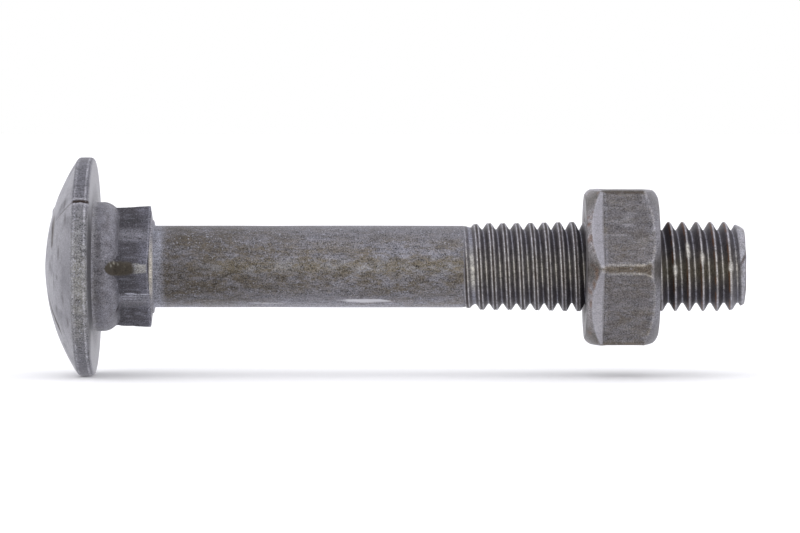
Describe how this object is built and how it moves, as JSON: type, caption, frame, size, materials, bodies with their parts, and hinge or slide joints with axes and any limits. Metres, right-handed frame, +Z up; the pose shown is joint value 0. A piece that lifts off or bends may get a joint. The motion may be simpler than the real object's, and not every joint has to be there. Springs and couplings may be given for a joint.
{
  "type": "carriage bolt",
  "caption": "Metric carriage bolt with a domed head, a square neck and a rolled coarse thread, with its hexagon nut screwed on.",
  "frame": {"origin": "on the bolt's axis, in the flat underside of the head", "axes": "+X along the bolt's axis from the head to the threaded tip; +Z up, square to two of the nut's flats and through two corners of the square neck; +Y away from the side that the picture shows"},
  "size_m": [0.0758, 0.0236, 0.0237],
  "materials": {
    "bolt_steel": "uncoated, dull grey steel with brown tints and lengthwise streaks",
    "nut_steel": "uncoated, dull grey steel with olive tints and light worn edges"
  },
  "bodies": {
    "bolt": {"bolt": "bolt_steel"},
    "nut": {"nut": "nut_steel"}
  },
  "joints": [
    {"name": "nut_travel", "type": "slide", "parent": "bolt", "child": "nut", "axis": [1, 0, 0], "range_m": [-0.0105, 0.015]}
  ]
}
